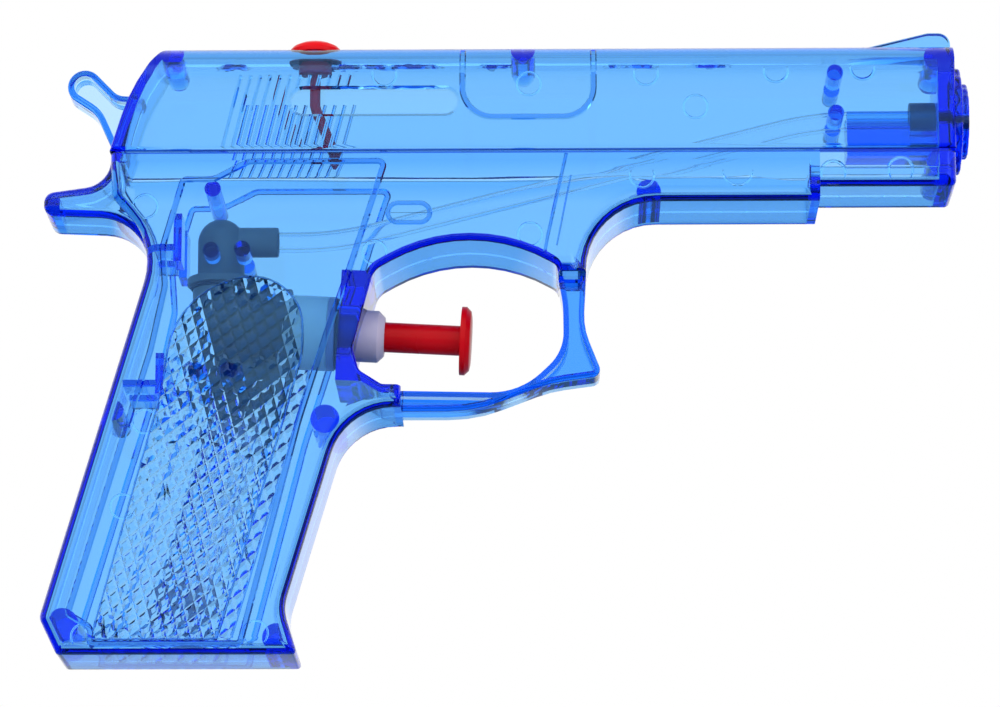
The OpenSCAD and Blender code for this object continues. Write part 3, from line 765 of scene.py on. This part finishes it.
def clear(name, tint, density, rough, ior, shine=(1, 1, 1)):
    """Clear plastic: it bends light and takes out the tint's missing colours with depth."""
    m, nodes, link, shader = material(name)
    shader.inputs["Base Color"].default_value = (1, 1, 1, 1)
    shader.inputs["Transmission Weight"].default_value = 1.0
    shader.inputs["IOR"].default_value = ior
    shader.inputs["Specular Tint"].default_value = (*shine, 1)
    grain(nodes, link, shader, 300, 0.06, rough)
    depth = nodes.new("ShaderNodeVolumeAbsorption")
    depth.inputs["Color"].default_value = (*tint, 1)
    depth.inputs["Density"].default_value = density
    link(depth.outputs["Volume"], nodes["Material Output"].inputs["Volume"])
    return m


def paint_ridge_and_groove_shade(look, ridge_shade_color, groove_shade_color):
    """Paints shade into the colour: a deeper blue on the raised lines, standing in for the light
    that the thicker plastic takes out, and a dark blue in the channel between slide and frame on
    the right side only, standing in for the light that the long path through the plastic there
    takes out. Full where |Y| is past the flat side, which lies further in above the channel, and
    where Z is within the channel near the outside."""
    nodes, link = look.node_tree.nodes, look.node_tree.links.new
    shader = nodes["Principled BSDF"]
    coords = nodes.new("ShaderNodeTexCoord")
    split = nodes.new("ShaderNodeSeparateXYZ")
    link(coords.outputs["Object"], split.inputs["Vector"])

    def math_node(operation, first, second):
        node = nodes.new("ShaderNodeMath")
        node.operation = operation
        for socket, value in zip(node.inputs, (first, second)):
            if isinstance(value, float):
                socket.default_value = value
            else:
                link(value, socket)
        return node.outputs["Value"]

    out = math_node("ABSOLUTE", split.outputs["Y"], 0.0)
    above = math_node("GREATER_THAN", split.outputs["Z"], GROOVE_Z * MM)
    side = math_node("SUBTRACT", (BODY + 0.06) * MM, math_node("MULTIPLY", above, 0.4 * MM))
    # painted shade: a deeper blue on the raised lines, for the light that the thicker plastic takes out
    shaded_ridge_mask = math_node("GREATER_THAN", out, side)
    near = math_node("ABSOLUTE", math_node("SUBTRACT", split.outputs["Z"], GROOVE_Z * MM), 0.0)
    in_groove = math_node("LESS_THAN", near, SEAM_HALF * MM)
    wide = math_node("LESS_THAN", split.outputs["Y"], (2.2 - SLIDE) * MM)
    # painted shade: a dark blue in the channel between slide and frame, right side only, for the light
    # lost along the plastic there
    shaded_groove_mask = math_node("MULTIPLY", in_groove, wide)
    ramp = nodes.new("ShaderNodeValToRGB")
    ramp.color_ramp.interpolation = "CONSTANT"
    ramp.color_ramp.elements[0].color = (1, 1, 1, 1)
    ramp.color_ramp.elements[1].color = (*ridge_shade_color, 1)
    ramp.color_ramp.elements[1].position = 0.25
    ramp.color_ramp.elements.new(0.75).color = (*groove_shade_color, 1)
    level = math_node("MAXIMUM", math_node("MULTIPLY", shaded_ridge_mask, 0.5), shaded_groove_mask)
    link(level, ramp.inputs["Fac"])
    link(ramp.outputs["Color"], shader.inputs["Base Color"])
    return look


def paint(obj, look):
    """Gives obj one material."""
    obj.data.materials.clear()
    obj.data.materials.append(look)


CLEAR_BLUE = clear("clear blue plastic", (0.0, 0.61, 0.985), 560, 0.02, 1.5, (0.25, 0.5, 1.0))
# Painted shade on the shells: a deeper blue along the raised lines and a dark blue in the right side's
# channel between slide and frame.
paint_ridge_and_groove_shade(CLEAR_BLUE, (0.25, 0.45, 0.85), (0.05, 0.12, 0.6))
CLEAR_TUBE = clear("clear vinyl", (0.9, 0.95, 1.0), 5, 0.2, 1.15)
RED = opaque("red plastic", (0.4, 0.0, 0.003), (0.46, 0.0, 0.005), 0.28, shine=0.1)
PLUG_RED = opaque("red filler plastic", (0.62, 0.0, 0.004), (0.7, 0.0, 0.006), 0.28, shine=0.1)
MILKY = opaque("milky plastic", (0.42, 0.39, 0.54), (0.47, 0.44, 0.6), 0.4, glow=0.3, shine=0.3)
PALE = opaque("pale cylinder plastic", (0.86, 0.9, 0.8), (0.92, 0.95, 0.86), 0.4, glow=0.3, shine=0.3)
GREY = opaque("dark grey plastic", (0.17, 0.17, 0.15), (0.2, 0.2, 0.18), 0.45)
NAVY = opaque("navy plastic", (0.01, 0.013, 0.05), (0.014, 0.018, 0.07), 0.4)
RUBBER = opaque("black rubber", (0.012, 0.012, 0.012), (0.02, 0.02, 0.02), 0.6)
WIRE = opaque("drawn wire", (0.5, 0.5, 0.52), (0.6, 0.6, 0.62), 0.3, metal=1.0)
STEEL = opaque("polished steel", (0.6, 0.6, 0.62), (0.66, 0.66, 0.68), 0.12, metal=1.0)


# ---------------------------------------------------------------- inner pieces
def fit(obj, look, body, node, angle=30):
    """Finishes one piece: shading, material, body and CAD node."""
    soften(obj, angle)
    paint(obj, look)
    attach(obj, body)
    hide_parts(node)
    return obj


def delivery_line():
    """Middle line of the delivery tube: level, a bend up, a straight climb, a bend back."""
    r = 60.0
    x0, z0, x1, z1 = OUTLET_X - 5, DOME_Z, -8.3, 0.0
    a0, b0 = x0 + 9, x1 - 14
    rise = 2 * r - (z1 - z0)
    climb = math.atan2(b0 - a0, rise) - math.acos(2 * r / math.hypot(b0 - a0, rise))
    t = np.linspace(0, climb, 10)
    up = np.column_stack([a0 + r * np.sin(t), z0 + r * (1 - np.cos(t))])
    down = np.column_stack([b0 - r * np.sin(t[::-1]), z1 - r * (1 - np.cos(t[::-1]))])
    run = np.linspace(up[-1], down[0], 8)[1:-1]
    line = np.vstack([[x0, z0], up, run, down, [x1, z1]])
    return np.column_stack([line[:, 0], np.zeros(len(line)), line[:, 1]])


def nozzle():
    """The nozzle insert: a turned bush with a fine hole, bored at its rear for the tube."""
    obj = lathe("insert", [(-11.5, 0.5, 0), (-11.5, 3.65, 0.3), (-6.3, 3.65, 0.2),
        (-6.3, 1.4, 0.2), (0, 1.4, 0.3), (0, 0.5, 0.15)])
    combine(obj, "DIFFERENCE", [rod(-12.5, -8.3, TUBE_R)])
    fit(obj, NAVY, "body", "nozzle_insert")


def tubes():
    """The delivery and suction tubes, swept along their middle lines, and the turned
    strainer with two slots across its foot."""
    fit(tube("delivery_line", delivery_line(), TUBE_R, TUBE_BORE), CLEAR_TUBE, "body",
        "delivery_tube")
    path = [SUCTION @ Vector((0, 0, -t)) for t in np.linspace(7, 44, 12)]
    fit(tube("suction_line", path, TUBE_R, TUBE_BORE), CLEAR_TUBE, "body", "suction_tube")
    down = SUCTION @ Matrix.Rotation(math.pi, 4, "Y") @ UPRIGHT
    sieve = lathe("sieve", [(41, 2, 0), (41, 3.1, 0.4), (48, 3.1, 0.5), (48, 0.8, 0.2), (44, 2, 0)], down)
    cuts = [block((46.3, -4, -0.5), (49, 4, 0.5), down), block((46.3, -0.5, -4), (49, 0.5, 4), down)]
    combine(sieve, "DIFFERENCE", cuts)
    fit(sieve, MILKY, "body", "strainer")


def valves():
    """The dark valve body with its cap, gasket, balls and inlet seat."""
    rest = math.sqrt(BALL_R ** 2 - PORT_R ** 2)
    foot = SEAT_Z + 0.6
    up = Matrix.Translation((VALVE_X, 0, 0)) @ UPRIGHT
    out = Matrix.Translation((0, 0, DOME_Z))
    dome = [(DOME_Z + 4.6 * math.sin(t), 4.6 * math.cos(t), 0) for t in np.linspace(0.15, 1.5, 9)]
    cap = lathe("cap", [(foot, 0, 0), (foot, 6.6, 0.2), (foot + 1.6, 6.6, 0.4), (foot + 1.6, 4.6, 0.4),
        (DOME_Z, 4.6, 0)] + dome + [(DOME_Z + 4.6, 0, 0)], up)
    combine(cap, "UNION", [lathe("spout", [(VALVE_X, 0, 0), (VALVE_X, 2.95, 0), (OUTLET_X, 2.95, 0.4),
        (OUTLET_X, 0, 0)], out, 48)])
    shoulder = SEAT_Z + 0.05 + rest + BALL_R + 1.1
    combine(cap, "DIFFERENCE", [rod(foot - 1, shoulder, BALL_R + 0.7, up), rod(foot, DOME_Z, 1.3, up),
        rod(VALVE_X, OUTLET_X, PORT_R, out), rod(OUTLET_X - 5, OUTLET_X + 1, TUBE_R, out)])
    fit(cap, GREY, "body", "valve_cap")
    gasket = lathe("cap_gasket", [(SEAT_Z, 2.6, 0), (SEAT_Z, 6, 0.2), (foot, 6, 0.2), (foot, 2.6, 0)], up)
    fit(gasket, RUBBER, "body", "valve_gasket")
    low = SEAT_Z - 6
    body = lathe("valve_block", [(low, 0, 0), (low, 5.5, 0.3), (SEAT_Z, 5.5, 0.3), (SEAT_Z, 0, 0)], up)
    down = SUCTION @ Matrix.Rotation(math.pi, 4, "Y") @ UPRIGHT
    sleeve = lathe("sleeve", [(-35, 0, 0), (-35, 8.45, 0.8), (-18.5, 8.45, 0.4), (-18.5, 0, 0)], PUMP)
    socket = lathe("socket", [(-1, 0, 0), (-1, 4.2, 0.3), (7.5, 4.2, 0.4), (7.5, 0, 0)], down)
    combine(body, "UNION", [sleeve, block((VALVE_X - 3, -5, -55), (INLET_AT[0] + 7.5, 5, -48)), socket])
    combine(body, "DIFFERENCE", [rod(SEAT_Z, SEAT_Z + 2.1, 6.8, up),
        rod(REAR_WALL, -17.5, PUMP_R + 0.05, PUMP), rod(-32.3, REAR_WALL + 0.01, PORT_R, PUMP),
        rod(-53.1, SEAT_Z + 1, PORT_R, up),
        rod(VALVE_X, INLET_AT[0], PORT_R, Matrix.Translation((0, 0, -52))), rod(-1, 3, PORT_R, down),
        rod(5.5 - rest - BALL_R - 1.15, 5.51, BALL_R + 0.6, down), rod(5.5, 8.5, 3.1, down)])
    fit(body, GREY, "body", "valve_body")
    seat = lathe("seat", [(5.5, PORT_R, 0), (5.5, 3.1, 0.2), (10.5, 3.1, 0.3), (10.5, TUBE_R, 0.2),
        (7, TUBE_R, 0), (7, PORT_R, 0)], down)
    fit(seat, MILKY, "body", "inlet_seat")
    ball = [(BALL_R * -math.cos(t), BALL_R * math.sin(t), 0) for t in np.linspace(0, math.pi, 19)]
    ball[0], ball[-1] = (-BALL_R, 0, 0), (BALL_R, 0, 0)
    upper = lathe("high_ball", ball, Matrix.Translation((VALVE_X, 0, SEAT_Z + rest + 0.05)), 32)
    fit(upper, STEEL, "outlet_ball", "outlet_ball")
    lower = lathe("low_ball", ball, SUCTION @ Matrix.Translation((0, 0, rest - 5.5 + 0.05)), 32)
    fit(lower, STEEL, "inlet_ball", "inlet_ball")


def pump():
    """Cylinder, nose, gasket, piston, its ring, the return spring and the trigger."""
    front = -11.1
    cyl = lathe("cylinder", [(REAR_WALL, BORE_R, 0.2), (REAR_WALL, PUMP_R, 0.3), (front, PUMP_R, 0.3),
        (front, BORE_R, 0.3)], PUMP, 96)
    fit(cyl, PALE, "body", "pump_cylinder")
    hole = ROD_R + 0.06
    nose = lathe("nose", [(-11.6, hole, 0), (-11.6, BORE_R - 0.05, 0.1), (front, BORE_R - 0.05, 0),
        (front, PUMP_R, 0.2), (front + 1.5, PUMP_R, 0.3), (front + 1.5, NOSE_R, 0.2), (-1.3, NOSE_R, 0.3),
        (0, NOSE_R - 1.3, 0.3), (0, hole, 0.2)], PUMP, 96)
    fit(nose, MILKY, "body", "pump_nose")
    washer = lathe("nose_washer", [(-9.6, 5.15, 0), (-9.6, 7, 0.2), (-8.6, 7, 0.2), (-8.6, 5.15, 0)], PUMP)
    fit(washer, RUBBER, "body", "nose_gasket")
    r, mid, back = BORE_R - 0.2, -13.3, -14.8
    deep = BORE_R - 0.06 - 1.2 - 0.02
    head = lathe("piston_head", [(back, 0, 0), (back, r, 0.25), (mid - 0.65, r, 0.1),
        (mid - 0.65, deep, 0), (mid + 0.65, deep, 0), (mid + 0.65, r, 0.1), (-11.8, r, 0.2),
        (-11.8, ROD_R, 0), (back + 1, ROD_R, 0), (back + 1, 0, 0)], PUMP)
    fit(head, MILKY, "trigger", "piston")
    c = BORE_R - 0.06 - 0.6
    ring = [(mid + 0.6 * math.cos(t), c + 0.6 * math.sin(t), 0) for t in np.arange(12) * math.pi / 6]
    fit(lathe("seal_ring", ring, PUMP), RUBBER, "trigger", "piston_ring")
    t = np.linspace(0, 1, 181)
    a = 2 * math.pi * 4 * t
    s0, s1 = REAR_WALL + 0.4, back - 0.4
    coil = np.column_stack([s0 + (s1 - s0) * t, 4.3 * np.cos(a), 4.3 * np.sin(a)])
    path = np.array([PUMP @ Vector(p) for p in coil])
    spring = fit(tube("spring", path, 0.35, sides=10), WIRE, "body", "return_spring")
    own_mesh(spring)
    b = 6.75
    knob = lathe("trigger_knob", [(back + 1, 0, 0), (back + 1, ROD_R, 0.1), (14.9, ROD_R, 0.3),
        (14.9, b, 0.12), (15.9, b, 0.15), (16.8, b - 0.9, 0.2), (17.0, b - 2, 0.5), (17.0, 0, 0)],
        PUMP, 96)
    fit(knob, RED, "trigger", "trigger")


def filler():
    """The filler plug: cap, neck and the leash that hangs from it with its arrow head."""
    up = Matrix.Translation((PLUG_X, 0, TOP_Z)) @ UPRIGHT
    cap = lathe("plug", [(-4, 0, 0), (-4, 2.9, 0.1), (-3.6, 3.3, 0.1), (0, 3.3, 0.1), (0, 5.2, 0.1),
        (0.9, 5.2, 0.3), (1.7, 4.5, 0.3), (2.4, 3.1, 0.8), (2.5, 0, 0)], up, 96)
    knee, lean = 3.0, (4.0, -9.5)
    stem = tube("stem", [(PLUG_X, 0, TOP_Z - 3), (PLUG_X, 0, 6), (PLUG_X, 0, knee + 0.6),
        (PLUG_X + 0.3, 0, knee - 0.5), (PLUG_X + lean[0], 0, knee + lean[1])], 1.05, sides=20)
    tip = Matrix.Translation((PLUG_X + lean[0], 0, knee + lean[1] - 2)) @ UPRIGHT
    head = lathe("head", [(0, 0, 0), (0, 0.3, 0), (3, 1.7, 0.2), (3, 0, 0)], tip, 32)
    combine(cap, "UNION", [stem, head])
    fit(cap, PLUG_RED, "plug", "filler_plug")


# ---------------------------------------------------------------- stage
SIDE_LIGHT = 0.65             # light from the sides, above and below, against 1 from behind
FRONT_LIGHT = 1.7             # light from the camera's side
BELOW = (0.1, 0.25, 0.6)      # light from below that mirrored rays meet, past the floor
SOFT_LIGHTS = [((-0.35, -0.5, 0.5), 0.8, 0.4), ((0.35, -0.35, 0.25), 0.4, 0.3)]  # place, power, size
FLOOR_Z = -400                # the floor's top, in millimetres
FLOOR_REACH = 6000            # half its side, in millimetres
AIM = (-0.0924, 0.0, -0.04673)           # point that the camera looks at, in metres
AZIMUTH = 0.8                 # the camera's turn from square on, in degrees
ELEVATION = -12.8             # its height angle: it looks up from below
DISTANCE = 0.9                # from the point to the camera, in metres
LENS = 165.24                 # focal length, in millimetres on a 36 mm sensor
BOUNCES = 32                  # enough for light to pass every clear wall


def surroundings():
    """Soft light from all round: white before and behind the toy, dimmer round its sides,
    and dim blue below the horizon, where the floor hides it from all but mirrored rays."""
    world = bpy.data.worlds.new("studio")
    world.use_nodes = True
    nodes, link = world.node_tree.nodes, world.node_tree.links.new
    coords = nodes.new("ShaderNodeTexCoord")
    split = nodes.new("ShaderNodeSeparateXYZ")
    across = nodes.new("ShaderNodeMath")
    across.operation = "ABSOLUTE"
    level = nodes.new("ShaderNodeMapRange")
    level.interpolation_type = "SMOOTHSTEP"
    level.inputs["From Min"].default_value = 0.15
    level.inputs["From Max"].default_value = 0.7
    level.inputs["To Min"].default_value = SIDE_LIGHT
    link(coords.outputs["Generated"], split.inputs["Vector"])
    link(split.outputs["Y"], across.inputs[0])
    link(across.outputs["Value"], level.inputs["Value"])
    front = nodes.new("ShaderNodeMapRange")
    front.interpolation_type = "SMOOTHSTEP"
    front.inputs["From Min"].default_value = -0.8
    front.inputs["From Max"].default_value = 0.0
    front.inputs["To Min"].default_value = FRONT_LIGHT
    front.inputs["To Max"].default_value = 1.0
    both = nodes.new("ShaderNodeMath")
    both.operation = "MULTIPLY"
    link(split.outputs["Y"], front.inputs["Value"])
    link(level.outputs["Result"], both.inputs[0])
    link(front.outputs["Result"], both.inputs[1])
    link(both.outputs["Value"], nodes["Background"].inputs["Strength"])
    low = nodes.new("ShaderNodeMapRange")
    low.inputs["From Min"].default_value = -0.2
    low.inputs["From Max"].default_value = -0.08
    below = nodes.new("ShaderNodeMix")
    below.data_type = "RGBA"
    below.inputs["A"].default_value = (*BELOW, 1)
    below.inputs["B"].default_value = (1, 1, 1, 1)
    link(split.outputs["Z"], low.inputs["Value"])
    link(low.outputs["Result"], below.inputs["Factor"])
    link(below.outputs["Result"], nodes["Background"].inputs["Color"])
    bpy.context.scene.world = world


def studio():
    """A pale floor well below, two soft lights and the camera."""
    floor = block((-FLOOR_REACH, -FLOOR_REACH, FLOOR_Z - 20), (FLOOR_REACH, FLOOR_REACH, FLOOR_Z))
    floor.name = "floor"
    floor.visible_glossy = False
    paint(floor, opaque("pale floor", (0.7, 0.7, 0.7), (0.74, 0.74, 0.74), 0.7, 40, 0.02))
    target = Vector(AIM)
    for at, power, size in SOFT_LIGHTS:
        data = bpy.data.lights.new("soft light", "AREA")
        data.energy = power
        data.size = size
        light = bpy.data.objects.new("soft light", data)
        light.location = at
        light.rotation_euler = (target - Vector(at)).to_track_quat("-Z", "Y").to_euler()
        bpy.context.collection.objects.link(light)
    az, el = math.radians(AZIMUTH), math.radians(ELEVATION)
    away = Vector((math.sin(az) * math.cos(el), -math.cos(az) * math.cos(el), math.sin(el)))
    data = bpy.data.cameras.new("camera")
    data.sensor_width = 36
    data.lens = LENS
    data.clip_start = 0.01
    camera = bpy.data.objects.new("camera", data)
    camera.location = target + DISTANCE * away
    camera.rotation_euler = (-away).to_track_quat("-Z", "Y").to_euler()
    bpy.context.collection.objects.link(camera)
    scene = bpy.context.scene
    scene.camera = camera
    scene.view_settings.view_transform = "Standard"
    scene.cycles.max_bounces = BOUNCES
    scene.cycles.transmission_bounces = BOUNCES
    scene.cycles.transparent_max_bounces = BOUNCES
    scene.cycles.glossy_bounces = 8


shells()
nozzle()
tubes()
valves()
pump()
filler()
surroundings()
studio()
